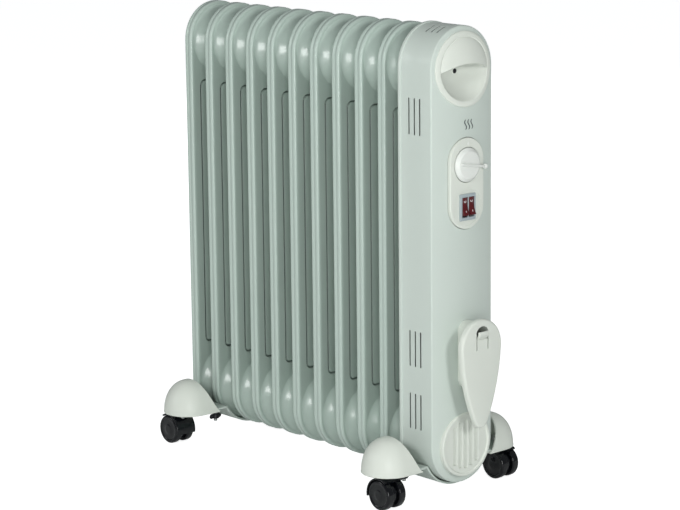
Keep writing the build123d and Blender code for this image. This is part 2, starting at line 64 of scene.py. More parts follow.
# %% Arrays to meshes
def to_frame(points):
    """Frame place = the point times 0.001, with the shoulder's x added."""
    return np.asarray(points, float).reshape(-1, 3) * MM + (shoulder, 0, 0)


def grid(points, wrap_u=False, wrap_v=False):
    """Quads (i, j), (i+1, j), (i+1, j+1), (i, j+1); a wrapped direction joins last to first."""
    rows, columns = points.shape[:2]
    index = np.arange(rows * columns).reshape(rows, columns)
    if wrap_u:
        index = np.vstack([index, index[:1]])
    if wrap_v:
        index = np.hstack([index, index[:, :1]])
    quads = np.stack([index[:-1, :-1], index[1:, :-1], index[1:, 1:], index[:-1, 1:]], axis=-1)
    return points.reshape(-1, 3), quads.reshape(-1, 4).tolist()


def join(*parts):
    """One (points, faces) pair from many: each part's indices move up by the points before it."""
    starts = np.cumsum([0] + [len(points) for points, _ in parts])
    faces = [[start + i for i in face] for start, (_, part) in zip(starts, parts) for face in part]
    return np.vstack([points for points, _ in parts]), faces


def thick(outer, inner):
    """Two layers of the same shape, joined along all four borders into one closed wall."""
    layers = grid(np.concatenate([outer, inner[::-1]]), wrap_u=True)
    return join(layers, *[grid(np.stack([outer[:, end], inner[:, end]])) for end in (0, -1)])


def build_mesh(name, part, sharp):
    """Merges the grid's seams and poles, turns all faces outwards and shades the mesh smooth."""
    points, faces = part
    mesh = bpy.data.meshes.new(name)
    mesh.from_pydata(to_frame(points).tolist(), [], faces)
    form = bmesh.new()
    form.from_mesh(mesh)
    bmesh.ops.remove_doubles(form, verts=form.verts, dist=0.00001)
    bmesh.ops.dissolve_degenerate(form, dist=0.000001, edges=form.edges)
    loose = [edge for edge in form.edges if not edge.link_faces]
    bmesh.ops.delete(form, geom=loose, context="EDGES")
    bmesh.ops.recalc_face_normals(form, faces=form.faces)
    form.to_mesh(mesh)
    form.free()
    mesh.shade_smooth()
    mesh.set_sharp_from_angle(angle=radians(sharp))
    return mesh


def add_piece(name, part, finish, stands_for=(), body="heater", sharp=30):
    """Makes a finished piece that rides on a body and stands for the named CAD nodes."""
    piece = bpy.data.objects.new(name, build_mesh(name, part, sharp))
    bpy.context.scene.collection.objects.link(piece)
    piece.data.materials.append(finish)
    if stands_for:
        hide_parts(*stands_for)
    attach(piece, body)
    return piece


# %% [markdown]
# ## Four ways to carry a shape
# Nearly everything here is one of four surfaces. A sweep carries a profile of (x, radius) around
# a stadium, two half circles joined by straight sides: that is a fin, the housing and the panel.
# When both centres fall together it is a round part. A lathe turns a profile about any axis. A
# slab carries an outline along an axis with softened rims. A tube carries a circle along a path.

# %% Sweeps, lathes, slabs and tubes
def stadium_path(z_low, z_high, steps, heights=()):
    """Angles and centre heights: over the top, down the left side, under and up the right."""
    over = np.linspace(0, pi, steps + 1)
    side = np.array(sorted(heights), float)
    angle = np.concatenate([over, np.full(len(side), pi), over + pi, np.full(len(side), 2 * pi)])
    level = np.ones(steps + 1)
    return angle, np.concatenate([level * z_high, side[::-1], level * z_low, side])


def swept(profile, z_low, z_high=None, steps=28):
    """Point (i, j) = (x_i, r_i cos a_j, c_j + r_i sin a_j)."""
    x, r = np.array(profile, float).T[:, :, None]
    angle, level = stadium_path(z_low, z_low if z_high is None else z_high, steps)
    points = np.stack([x + 0 * angle, r * np.cos(angle), level + r * np.sin(angle)], axis=-1)
    return grid(points, wrap_v=True)


AXES = {"x": (0, 1, 2), "y": (1, 0, 2), "z": (2, 0, 1)}


def on_axis(along, a, b, axis):
    """Points with one coordinate along an axis and the other two across it."""
    points = np.empty(np.broadcast(along, a, b).shape + (3,))
    for place, value in zip(AXES[axis], (along, a, b)):
        points[..., place] = value
    return points


def lathe(profile, centre, axis, steps=40, loop=False):
    """Point (i, j) = centre + h_i along the axis + r_i (cos a_j, sin a_j) across it."""
    h, r = np.array(profile, float).T[:, :, None]
    angle = np.linspace(0, 2 * pi, steps, endpoint=False)
    points = on_axis(h + 0 * angle, r * np.cos(angle), r * np.sin(angle), axis)
    return grid(points + np.array(centre, float), wrap_u=loop, wrap_v=True)


def outward(outline):
    """The outline turned anticlockwise, and its unit normals from the tangent's quarter turn."""
    a, b = outline.T
    if np.sum(a * np.roll(b, -1) - np.roll(a, -1) * b) < 0:
        outline = outline[::-1]
    tangent = np.roll(outline, -1, 0) - np.roll(outline, 1, 0)
    normal = np.stack([tangent[:, 1], -tangent[:, 0]], axis=1)
    return outline, normal / np.linalg.norm(normal, axis=1)[:, None]


def slab(outline, low, high, edge=0.5, axis="x", edge_low=None, steps=3):
    """At turn q of a rim the outline is edge (1 - sin q) inside, edge (1 - cos q) from the end."""
    outline, normal = outward(np.asarray(outline, float))
    edge_low = edge if edge_low is None else edge_low
    turn = np.linspace(0, pi / 2, steps + 1)
    inset = np.concatenate([edge_low * (1 - np.sin(turn)), edge * (1 - np.sin(turn[::-1]))])
    lower, upper = low + edge_low * (1 - np.cos(turn)), high - edge * (1 - np.cos(turn[::-1]))
    height = np.concatenate([lower, upper])[:, None]
    rings = outline[None] - inset[:, None, None] * normal[None]
    points, faces = grid(on_axis(height, rings[..., 0], rings[..., 1], axis), wrap_v=True)
    count = len(outline)
    last = len(points) - count
    return points, faces + [list(range(count)), list(range(last, last + count))]


def tube(path, radius, steps=14):
    """A circle kept square to the path, with the x axis as its first direction."""
    path = np.asarray(path, float)
    tangent = np.gradient(path, axis=0)
    tangent /= np.linalg.norm(tangent, axis=1)[:, None]
    first = np.tile([1.0, 0, 0], (len(path), 1))
    second = np.cross(tangent, first)
    angle = np.linspace(0, 2 * pi, steps, endpoint=False)
    c, s = np.cos(angle)[None, :, None], np.sin(angle)[None, :, None]
    ring = c * first[:, None] + s * second[:, None]
    points, faces = grid(path[:, None] + radius * ring, wrap_v=True)
    last = len(points) - steps
    return points, faces + [list(range(steps)), list(range(last, last + steps))]


def arc(radius, turn, centre=(0, 0)):
    """Points centre + radius (cos turn, sin turn)."""
    return radius * np.stack([np.cos(turn), np.sin(turn)], axis=1) + centre


def round_box(width, height, radius, centre=(0, 0), steps=4):
    """Outline of a rectangle with quarter circles at its corners."""
    turn = np.linspace(0, pi / 2, steps + 1)
    corners = [(1, 1, 0), (-1, 1, 1), (-1, -1, 2), (1, -1, 3)]
    across, up = width / 2 - radius, height / 2 - radius
    arcs = [arc(radius, turn + k * pi / 2, (a * across, b * up)) for a, b, k in corners]
    return np.vstack(arcs) + centre


def corner(x, r, radius, start, end, steps=5):
    """Profile points on a quarter circle about (x, r), from one angle to another in degrees."""
    turn = np.radians(np.linspace(start, end, steps + 1))
    return [(x + radius * cos(t), r + radius * sin(t)) for t in turn]


print("shoulder at x =", round(shoulder, 4))

# %% [markdown]
# ## Finishes
# The steel is powder coated in a pale grey green: a slightly uneven gloss over a very fine
# orange peel. The plastic parts are a warmer off-white with a finer and duller grain. Both come
# from the same two node groups. One gives the fine relief of a surface, the other a slow drift
# in tone that keeps a large panel from looking like one flat colour. A third mask comes from the
# mesh itself: a point attribute of painted shade, 1 where the colour falls to a twentieth to stand
# for the shade in a narrow groove, on the inner face of a shell or in a pocket.

# %% Node groups shared by the finishes
def noise_group(name, detail, roughness):
    """Noise on object coordinates, with its size as an input and its value as the output."""
    group = bpy.data.node_groups.new(name, "ShaderNodeTree")
    for label, way in (("Scale", "INPUT"), ("Value", "OUTPUT")):
        group.interface.new_socket(label, in_out=way, socket_type="NodeSocketFloat")
    start, end = group.nodes.new("NodeGroupInput"), group.nodes.new("NodeGroupOutput")
    place = group.nodes.new("ShaderNodeTexCoord")
    noise = group.nodes.new("ShaderNodeTexNoise")
    noise.inputs["Detail"].default_value = detail
    noise.inputs["Roughness"].default_value = roughness
    group.links.new(place.outputs["Object"], noise.inputs["Vector"])
    group.links.new(start.outputs["Scale"], noise.inputs["Scale"])
    group.links.new(noise.outputs["Fac"], end.inputs["Value"])
    return group


surface_relief = noise_group("surface relief", 2.0, 0.5)
tone_drift = noise_group("tone drift", 4.0, 0.6)
print("node groups:", len(bpy.data.node_groups))

# %% A finish: base colour with drift and painted shade, varied gloss and fine relief
def link_range(tree, source, target, low, high):
    """Carries a noise value, mostly 0.3 to 0.7, to the range low to high of a socket."""
    node = tree.nodes.new("ShaderNodeMapRange")
    ends = {"From Min": 0.3, "From Max": 0.7, "To Min": low, "To Max": high}
    for label, value in ends.items():
        node.inputs[label].default_value = value
    tree.links.new(source, node.inputs["Value"])
    tree.links.new(node.outputs["Result"], target)


def place_group(tree, group, scale):
    """The value of a noise group placed in a material, at a given size."""
    node = tree.nodes.new("ShaderNodeGroup")
    node.node_tree = group
    node.inputs["Scale"].default_value = scale
    return node.outputs["Value"]


def finish(name, colour, gloss, relief=400.0, depth=0.02, drift=14.0, spread=0.03, metal=0.0,
           coat=0.0):
    """Colour mixes between spread darker and spread lighter, and falls to a twentieth, a painted
    shade, where the mesh attribute of painted shade is 1. Gloss is the range of roughness."""
    material = bpy.data.materials.new(name)
    material.use_nodes = True
    tree = material.node_tree
    shader = tree.nodes["Principled BSDF"]
    tone = place_group(tree, tone_drift, drift)
    mix = tree.nodes.new("ShaderNodeMix")
    mix.data_type = "RGBA"
    darker, lighter = (tuple(c * f for c in colour) + (1,) for f in (1 - spread, 1 + spread))
    mix.inputs["A"].default_value, mix.inputs["B"].default_value = darker, lighter
    link_range(tree, tone, mix.inputs["Factor"], 0.0, 1.0)
    # Painted shade: where the mesh attribute is 1 the colour falls to a twentieth.
    painted_shade = tree.nodes.new("ShaderNodeAttribute")
    painted_shade.attribute_name = "painted_shade"
    shaded = tree.nodes.new("ShaderNodeMix")
    shaded.data_type = "RGBA"
    shaded.inputs["B"].default_value = tuple(c * 0.05 for c in colour) + (1,)
    tree.links.new(painted_shade.outputs["Fac"], shaded.inputs["Factor"])
    tree.links.new(mix.outputs["Result"], shaded.inputs["A"])
    tree.links.new(shaded.outputs["Result"], shader.inputs["Base Color"])
    link_range(tree, tone, shader.inputs["Roughness"], *gloss)
    bump = tree.nodes.new("ShaderNodeBump")
    bump.inputs["Strength"].default_value = depth
    bump.inputs["Distance"].default_value = 0.001
    tree.links.new(place_group(tree, surface_relief, relief), bump.inputs["Height"])
    tree.links.new(bump.outputs["Normal"], shader.inputs["Normal"])
    shader.inputs["Metallic"].default_value = metal
    shader.inputs["Coat Weight"].default_value = coat
    shader.inputs["Coat Roughness"].default_value = 0.12
    return material


def mark_painted_shade(piece, shade):
    """Writes the painted shade at each point as a mesh attribute: shade(x, y, z), from 0 to 1."""
    places = np.empty(3 * len(piece.data.vertices))
    piece.data.vertices.foreach_get("co", places)
    x, y, z = ((places.reshape(-1, 3) - (shoulder, 0, 0)) / MM).T
    painted_shade = piece.data.attributes.new("painted_shade", "FLOAT", "POINT")
    painted_shade.data.foreach_set("value", np.asarray(shade(x, y, z), np.float32))


# %% Every finish
fin_paint = finish("pale green powder coat on the fins", (0.46, 0.555, 0.50), (0.20, 0.27),
                   900, 0.02, 5, 0.012, coat=0.4)
housing_paint = finish("powder coat on the housing", (0.56, 0.63, 0.58), (0.34, 0.42),
                       1100, 0.05, 5, 0.012, coat=0.2)
bar_paint = finish("powder coat on the crossbars", (0.52, 0.59, 0.54), (0.34, 0.42), 900, 0.05, 5, 0.012)
ivory_plastic = finish("off-white moulded plastic", (0.68, 0.72, 0.655), (0.32, 0.4), 1500, 0.04, 6, 0.012)
knob_plastic = finish("white polished plastic", (0.74, 0.77, 0.73), (0.28, 0.36), 1500, 0.02, 10, 0.015)
black_plastic = finish("black glossy caster plastic", (0.003, 0.0036, 0.005), (0.1, 0.17),
                       700, 0.04, 20, 0.25)
switch_plastic = finish("blue grey switch plastic", (0.36, 0.42, 0.44), (0.34, 0.44), 1200, 0.03)
rocker_plastic = finish("dark red clear rocker plastic", (0.085, 0.003, 0.005), (0.1, 0.18),
                        900, 0.01, coat=0.6)
mark_ink = finish("white ink", (0.75, 0.75, 0.75), (0.5, 0.6), 900, 0.02)
grey_ink = finish("dark grey print", (0.06, 0.07, 0.075), (0.45, 0.6), 900, 0.02)
zinc = finish("zinc plated steel", (0.55, 0.56, 0.55), (0.3, 0.42), 500, 0.06, 60, 0.12, metal=1.0)
bare_steel = finish("bare steel", (0.42, 0.42, 0.42), (0.34, 0.5), 500, 0.08, 50, 0.15, metal=1.0)
black_steel = finish("blackened steel", (0.05, 0.05, 0.055), (0.3, 0.42), 500, 0.06, 50, 0.2, metal=0.8)
element_steel = finish("heat tinted element steel", (0.30, 0.24, 0.19), (0.35, 0.5),
                       500, 0.1, 40, 0.2, metal=1.0)
brown_resin = finish("brown resin", (0.10, 0.05, 0.03), (0.4, 0.5), 500, 0.05)
terminal_white = finish("white terminal plastic", (0.7, 0.7, 0.68), (0.4, 0.5), 600, 0.05)
wire_sleeve = finish("woven wire sleeve", (0.62, 0.6, 0.55), (0.6, 0.75), 1800, 0.3)
gland_rubber = finish("black rubber", (0.02, 0.02, 0.02), (0.5, 0.6), 700, 0.1)
print("finishes:", len(bpy.data.materials))

# %% [markdown]
# ## Fins
# A fin is two pressed sheets welded at the rim. Seen from the side it is a stadium 102 wide and
# 580 tall. Its middle is pressed inwards to a web with a fine groove along its edge, where the
# shade in the groove is painted dark into the colour, and at both ends a header bulges out until
# it meets the next fin. One sweep makes the whole closed surface: the profile runs from the
# middle of the back face over the rim to the middle of the front face, and the web is a smooth
# step taken off its height. The headers flare out of the face in a small hollow, which is what
# draws the highlight into a round patch.

# %% Fins
LOW_Z, HIGH_Z = 73.0, 551.0
MID_Z = (LOW_Z + HIGH_Z) / 2
FIN_COUNT, FIN_PITCH, FIN_DEPTH = 11, 43.0, 13.5
FIN_RADIUS = 51.0
FIRST_FIN_BACK = -56.0
WEB_HALF_WIDTH, WEB_HALF_HEIGHT, WEB_CORNER, WEB_DEPTH = 36.0, 184.0, 8.0, 1.2
STEP_WIDTH, GROOVE_DEPTH, GROOVE_INSET, GROOVE_SPREAD = 0.9, 2.8, 1.0, 0.8


def web_distance(y, z):
    """Distance to the edge of the pressed web, a rounded rectangle; negative inside it."""
    across = np.abs(y) - (WEB_HALF_WIDTH - WEB_CORNER)
    along = np.abs(z - MID_Z) - (WEB_HALF_HEIGHT - WEB_CORNER)
    outside = np.hypot(np.maximum(across, 0), np.maximum(along, 0))
    return outside + np.minimum(np.maximum(across, along), 0) - WEB_CORNER


def web_step(y, z):
    """Depth of the web: the step t^2 (3 - 2 t) at its edge and a bell shaped groove inside it."""
    distance = web_distance(y, z)
    t = np.clip(0.5 - distance / STEP_WIDTH, 0, 1)
    groove = GROOVE_DEPTH * np.exp(-((distance + GROOVE_INSET) / GROOVE_SPREAD) ** 2)
    return WEB_DEPTH * t * t * (3 - 2 * t) + groove


def groove_shade(x, y, z):
    """Painted shade, a bell over the groove cut off at 1, less than half as dark at the web's two ends."""
    bell = np.clip(1.5 * np.exp(-((web_distance(y, z) + 0.9) / 1.15) ** 2) - 0.1, 0, 1)
    return bell * np.where(np.abs(z - MID_Z) > WEB_HALF_HEIGHT - 6, 0.45, 1)


def fin_body():
    """Back face, rim and front face as one profile, less the web's depth on both faces."""
    half = FIN_DEPTH / 2
    across = [0, 12, 24, 28, 30, 32, 33.2, 33.8, 34.3, 34.8, 35.2, 35.6, 35.9, 36.2, 36.6, 37, 38,
              40, 43]
    front_rim = corner(half - 2.8, FIN_RADIUS - 2.8, 2.8, 90, 0, 7)
    back_rim = corner(-half + 2, FIN_RADIUS - 2, 2, 180, 90, 5)
    seam = [(-0.8, FIN_RADIUS), (-0.3, FIN_RADIUS - 0.5), (0.3, FIN_RADIUS - 0.5), (0.8, FIN_RADIUS)]
    profile = [(-half, r) for r in across] + back_rim + seam + front_rim
    profile += [(half, r) for r in across[::-1]]
    x, r = np.array(profile).T[:, :, None]
    ends = np.array([37, 36.6, 36.2, 35.8, 35.4, 35, 34.6, 34, 33, 31, 28.5, 20]) - 36
    heights = np.concatenate([MID_Z + WEB_HALF_HEIGHT + ends, MID_Z - WEB_HALF_HEIGHT - ends, [MID_Z]])
    angle, level = stadium_path(LOW_Z, HIGH_Z, 28, heights)
    y, z = r * np.cos(angle), level + r * np.sin(angle)
    points = np.stack([x - np.sign(x) * web_step(y, z) * (np.abs(r) < 40), y, z], axis=-1)
    return grid(points, wrap_v=True)


def header(side, rise):
    """Turned about x: a hollow flare from the face, then a bulge to the neck or a closed cap."""
    half = FIN_DEPTH / 2
    t = np.linspace(0, 1, 19)
    if rise > 10:
        radius = 46.5 - 26.5 * t
        lift = rise * np.sin(pi / 2 * t) ** 1.4
    else:
        radius = 44 * (1 - t)
        lift = rise * (1 - (1 - t) ** 2) ** 1.2
    profile = [(half - 1, 0), (half - 1, radius[0])] + [(half - 0.05 + h, r) for h, r in zip(lift, radius)]
    if rise > 10:
        profile.append((half + rise, 0))
    profile = [(side * x, r) for x, r in profile]
    return [swept(profile, z, steps=28) for z in (LOW_Z, HIGH_Z)]


gap_half = (FIN_PITCH - FIN_DEPTH) / 2
plain_fin = fin_body()
for number in range(1, FIN_COUNT + 1):
    middle = FIRST_FIN_BACK + FIN_DEPTH / 2 - (FIN_COUNT - number) * FIN_PITCH
    back = header(-1, 6.5 if number == 1 else gap_half)
    front = header(1, 6.4 if number == FIN_COUNT else gap_half)
    points, faces = join(plain_fin, *back, *front)
    fin = add_piece(f"painted_fin_{number:02d}", (points + (middle, 0, 0), faces), fin_paint,
                    [f"fin_{number:02d}"], sharp=50)
    # The groove along the web's edge gets painted shade.
    mark_painted_shade(fin, groove_shade)
print("fins:", FIN_COUNT, "points each:", len(points))

# %% [markdown]
# ## Control housing
# The housing is one painted shell: a lip at the back that clips over the last fin, straight side
# walls, a narrow bright shoulder and a front that bulges eight millimetres. The profile runs
# back along the inside and out again along the outside, so the shell has a real wall.
# Slots and holes are cut with a Boolean modifier that is applied at once, because a real edge
# with a wall behind it is what makes a vent look like a vent. The vents on top stand a little way
# down on each side and a little further forward than those in the side walls.

# %% Housing shell
HOUSING_RADIUS, HOUSING_DEPTH, WALL = 52.5, 58.0, 1.2
GRIP_Z, PANEL_Z, KNOB_Z, SWITCH_Z, GRILLE_Z = 550.0, 407.5, 431.0, 378.0, 72.0
PANEL_FRONT, PANEL_REACH = 10.0, 28.5


def crown(distance):
    """Front of the housing: 8 (1 - (d / 52.5)^2), d from the line between the two centres."""
    return CROWN_RISE * (1 - (distance / HOUSING_RADIUS) ** 2)


def crown_at(y, z):
    """The crown at a point of the front: the distance is to the nearest centre or side."""
    beyond = np.maximum(np.maximum(z - HIGH_Z, LOW_Z - z), 0)
    return crown(np.minimum(np.hypot(y, beyond), HOUSING_RADIUS))


def carve(piece, cutters):
    """Takes the cutters away from a piece, keeps the result as its mesh and closes tiny gaps."""
    tool = bpy.data.objects.new("cutter", build_mesh("cutter", join(*cutters), 30))
    bpy.context.scene.collection.objects.link(tool)
    cut = piece.modifiers.new("cut", "BOOLEAN")
    cut.operation, cut.solver, cut.object = "DIFFERENCE", "EXACT", tool
    bpy.context.view_layer.update()
    mesh = bpy.data.meshes.new_from_object(piece.evaluated_get(bpy.context.evaluated_depsgraph_get()))
    piece.modifiers.clear()
    piece.data = mesh
    form = bmesh.new()
    form.from_mesh(mesh)
    bmesh.ops.remove_doubles(form, verts=form.verts, dist=0.000003)
    bmesh.ops.dissolve_degenerate(form, dist=0.000001, edges=form.edges)
    bmesh.ops.holes_fill(form, edges=[edge for edge in form.edges if edge.is_boundary], sides=4)
    form.to_mesh(mesh)
    form.free()
    mesh.shade_smooth()
    mesh.set_sharp_from_angle(angle=radians(30))
    bpy.data.objects.remove(tool)


lip_back, lip_radius, LIP_ROUND = -HOUSING_DEPTH, HOUSING_RADIUS + 1.5, 0.7
outside = [(lip_back, lip_radius - 2), (lip_back, lip_radius - LIP_ROUND)]
outside += corner(lip_back + LIP_ROUND, lip_radius - LIP_ROUND, LIP_ROUND, 180, 90, 4)
outside += corner(lip_back + 3.4, lip_radius - LIP_ROUND, LIP_ROUND, 90, 0, 4)
outside += [(lip_back + 4.3, HOUSING_RADIUS + 0.1), (lip_back + 4.8, HOUSING_RADIUS)]
outside += [(-30, HOUSING_RADIUS)]
outside += corner(-1.7, HOUSING_RADIUS - 2.2, 2.2, 90, 18, 6)
outside += [(crown(r), r) for r in np.linspace(49, 0, 20)]
inside = [(crown(r) - WALL, r) for r in np.linspace(0, 48, 12)] + [(-4, HOUSING_RADIUS - WALL)]
inside += [(lip_back, HOUSING_RADIUS - WALL)]
housing = add_piece("housing_cover", swept(inside + outside, LOW_Z, HIGH_Z, steps=36),
                    housing_paint, ["housing_shell"])

VENT_X, VENT_Z, VENT_LENGTH, VENT_WIDTH = (-39.3, -29.6, -20.0), (117.0, 198.0, 492.5), 46.0, 2.3
TOP_VENT_SHIFT, TOP_VENT_Y, TOP_VENT_LENGTH = 5.0, 20.3, 15.5
cutters = []
for x in VENT_X:
    for z in VENT_Z:
        for side in (-1, 1):
            slot_outline = round_box(VENT_WIDTH, VENT_LENGTH, 0.9, (x, z), 3)
            cutters.append(slab(slot_outline, side * 56 - 6, side * 56 + 6, 0.01, "y"))
    for side in (-1, 1):
        place = (x + TOP_VENT_SHIFT, side * TOP_VENT_Y)
        slot_outline = round_box(VENT_WIDTH, TOP_VENT_LENGTH, 0.9, place, 3)
        cutters.append(slab(slot_outline, 588, 612, 0.01, "z"))
carve(housing, cutters)
carve(housing, [swept([(-6, 0), (-6, 40.3), (20, 40.3), (20, 0)], GRIP_Z),
                swept([(-6, 0), (-6, 41.3), (20, 41.3), (20, 0)], GRILLE_Z, steps=36)])
carve(housing, [swept([(0, 0), (0, 29.7), (20, 29.7), (20, 0)],
                      PANEL_Z - PANEL_REACH, PANEL_Z + PANEL_REACH)])


def inside_shade(x, y, z):
    """Painted shade, 1 on the inner face of the shell for the shade inside it; 0 on the coated outer face.
    """
    beyond = np.maximum(np.maximum(z - HIGH_Z, LOW_Z - z), 0)
    radius = np.hypot(y, beyond)
    return (radius < HOUSING_RADIUS - WALL / 2) & (x < crown(radius) - WALL / 2)


# The inside of the shell is painted dark for the shade in it, so the vents look dark.
mark_painted_shade(housing, inside_shade)
print("housing faces:", len(housing.data.polygons))

# %% [markdown]
# ## Carrying grip
# The grip is one moulding in warmer plastic: a raised ring that follows the crowned face, a
# round bowl for the fingers and a hood over its upper half. Ring and bowl are one turned surface
# whose height is measured from the crown. The hood is a patch between the ring and a curved
# lower edge, given a wall so that its edge shows some thickness.

# %% Ring, bowl and hood
BOWL_RADIUS, BOWL_DEPTH, HOOD_RADIUS = 39.2, 13.0, 40.6


def ring_and_bowl():
    """Height = crown + offset(r) over the ring, and a deep round bowl inside it."""
    ring = [(46.9, -1.2), (47.0, 0.9), (46.6, 1.5), (45.9, 1.75), (44, 1.8), (41.6, 1.8),
            (40.6, 1.7), (39.8, 1.2)]
    radii = np.array([r for r, _ in ring] + list(np.linspace(BOWL_RADIUS, 0, 18)))
    angle = np.linspace(0, 2 * pi, 96, endpoint=False)
    y, z = radii[:, None] * np.cos(angle), GRIP_Z + radii[:, None] * np.sin(angle)
    skin = crown_at(y, z)
    offset = np.array([h for _, h in ring])[:, None]
    depth = ((1 - (np.minimum(radii, BOWL_RADIUS) / BOWL_RADIUS) ** 2) ** 0.8)[len(ring):, None]
    rim = crown_at(BOWL_RADIUS * np.cos(angle), GRIP_Z + BOWL_RADIUS * np.sin(angle)) + 0.4
    x = np.vstack([skin[:len(ring)] + offset, rim * (1 - depth) - BOWL_DEPTH * depth])
    top, under = np.stack([x, y, z], axis=-1), np.stack([x - 1.6, y * 0.995, z], axis=-1)
    return grid(np.concatenate([top[::-1], under]), wrap_v=True)


def hood():
    """A patch from inside the ring, at radius 40.6, to an arched edge, bulging to x = 14."""
    turn = np.radians(np.linspace(-3.5, 183.5, 49))
    rim_y, rim_z = HOOD_RADIUS * np.cos(turn), HOOD_RADIUS * np.sin(turn)
    edge_y = rim_y * 0.999
    edge_z = rim_z[0] + 9.8 * (1 - (edge_y / edge_y[0]) ** 2)
    t = np.linspace(0, 1, 14)[:, None]
    y, z = rim_y * (1 - t) + edge_y * t, rim_z * (1 - t) + edge_z * t
    rho = np.hypot(y, z) / HOOD_RADIUS
    foot = crown_at(rim_y, rim_z + GRIP_Z) + 0.7
    x = foot + (14.0 - foot) * (1 - np.minimum(rho, 1) ** 2) ** 0.8
    layers = [np.stack([x - wall, y, z + GRIP_Z], axis=-1) for wall in (0, 2.2)]
    return thick(*layers)


grip = add_piece("grip_moulding", join(ring_and_bowl(), hood()), ivory_plastic, ["grip_insert"],
                 sharp=45)
print("grip faces:", len(grip.data.polygons))


# %% Grip screw: a sunk black screw with a shallow round recess in its head, in a small well
def screw_head(x, radius, z):
    profile = [(x - 2, 0), (x - 2, radius), (x - 0.4, radius), (x, radius * 0.8), (x, radius * 0.3),
               (x - 0.7, radius * 0.22), (x - 0.7, 0)]
    return lathe(profile, (0, 0, z), "x", 24)


SCREW_Z = GRIP_Z - 4
bowl_floor = -BOWL_DEPTH * (1 - (4.0 / BOWL_RADIUS) ** 2) ** 0.8
well = lathe([(bowl_floor + h, r) for h, r in ((0.2, 4.6), (0.9, 4.2), (0.9, 3.3), (0.2, 3.2))],
             (0, 0, SCREW_Z), "x", 32, loop=True)
add_piece("grip_fixing_screw", screw_head(bowl_floor + 1.1, 3.1, SCREW_Z), black_steel,
          ["grip_screw"])
add_piece("grip_screw_well", well, ivory_plastic)

# %% [markdown]
# ## A generic mark
# The front carries a small printed mark. A neutral pictogram of rising heat stands there: three
# waves, each a thin raised strip that lies on the crowned skin.

# %% Heat waves
def wave(y_centre):
    """Centre line y = y0 + 1.5 sin(2 pi s), z rising 13 over s; 1.5 wide and 0.25 proud."""
    s = np.linspace(0, 1, 33)
    middle = y_centre + 1.5 * np.sin(2 * pi * s)
    width = 0.8 * np.sqrt(np.clip(1 - (2 * s - 1) ** 6, 0, 1)) + 0.02
    z = 474.5 + 13 * s
    across, lift = np.array([(-1, -0.3), (-1, 0.2), (0, 0.25), (1, 0.2), (1, -0.3)]).T
    y, z = middle[:, None] + across * width[:, None], z[:, None] + 0 * across
    points, faces = grid(np.stack([crown_at(y, z) + lift, y, z], axis=-1), wrap_v=True)
    return points, faces + [list(range(5)), list(range(len(points) - 5, len(points)))]


add_piece("heat_wave_mark", join(wave(-1), wave(4.5), wave(10)), grey_ink)
print("mark made")

# %% [markdown]
# ## Panel, knob and switch
# The panel is a raised stadium plate that sits in a narrow groove. It has a round well for the
# knob and a second shallow one round the switch. The knob is a cone with a thin rib that runs
# out to a ball. The two rockers are dipped plates, tipped so that their upper ends are in.

# %% Control panel
panel_profile = [(2.2, 0), (2.2, 29.0), (PANEL_FRONT - 1.3, 29.0)]
panel_profile += corner(PANEL_FRONT - 1.3, 27.7, 1.3, 90, 0, 5)[1:]
panel_profile += [(PANEL_FRONT, 14), (PANEL_FRONT, 0)]
panel = add_piece("panel_plate",
                  swept(panel_profile, PANEL_Z - PANEL_REACH, PANEL_Z + PANEL_REACH, steps=36),
                  ivory_plastic, ["control_panel"])
for deep, floor_radius, mouth_radius, z in ((3.6, 22.5, 22.5, KNOB_Z), (0.7, 23.4, 24.4, SWITCH_Z)):
    floor_x, mouth_x = PANEL_FRONT - deep, PANEL_FRONT + 2
    well_profile = [(floor_x, 0), (floor_x, floor_radius), (mouth_x, mouth_radius), (mouth_x, 0)]
    carve(panel, [swept(well_profile, z, steps=40)])
carve(panel, [slab(round_box(24.4, 31.4, 0.5, (0, SWITCH_Z)), 0, 14, 0.01)])
dot = lathe([(9.6, 1.8), (10.1, 1.8), (10.6, 1.2), (10.8, 0)], (0, 2, 457.5), "x", 24)
add_piece("pointer_dot", dot, knob_plastic)
print("panel faces:", len(panel.data.polygons))

# %% Thermostat knob
KNOB_BACK, KNOB_FRONT, LEVER_ANGLE, LEVER_REACH = 6.9, 15.0, -9.0, 27.3
knob_profile = [(KNOB_BACK, 0), (KNOB_BACK, 21.4), (KNOB_BACK + 0.2, 21.6), (11.2, 21.5)]
knob_profile += [(KNOB_FRONT - 1.2, 18.3), (KNOB_FRONT - 0.5, 17.7), (KNOB_FRONT - 0.1, 17.0),
                 (KNOB_FRONT, 16.0), (KNOB_FRONT, 6), (KNOB_FRONT, 0)]
cone = swept(knob_profile, 0, steps=48)
rib = slab(round_box(38.5, 3.2, 1.5, (3.7, 0)), KNOB_FRONT - 3.0, KNOB_FRONT + 2.8, 0.9)
turn = np.linspace(0, pi, 13)
ball = lathe(3.25 * np.stack([-np.cos(turn), np.sin(turn)], axis=1),
             (KNOB_FRONT - 0.3, LEVER_REACH, 0), "x", 28)
points, faces = join(cone, rib, ball)
tilt = radians(LEVER_ANGLE)
about_x = np.array([[1, 0, 0], [0, cos(tilt), -sin(tilt)], [0, sin(tilt), cos(tilt)]])
add_piece("knob_with_lever", (points @ about_x.T + (0, 0, KNOB_Z), faces), knob_plastic, ["thermostat_knob"],
          body="thermostat_dial", sharp=35)
print("knob points:", len(points))

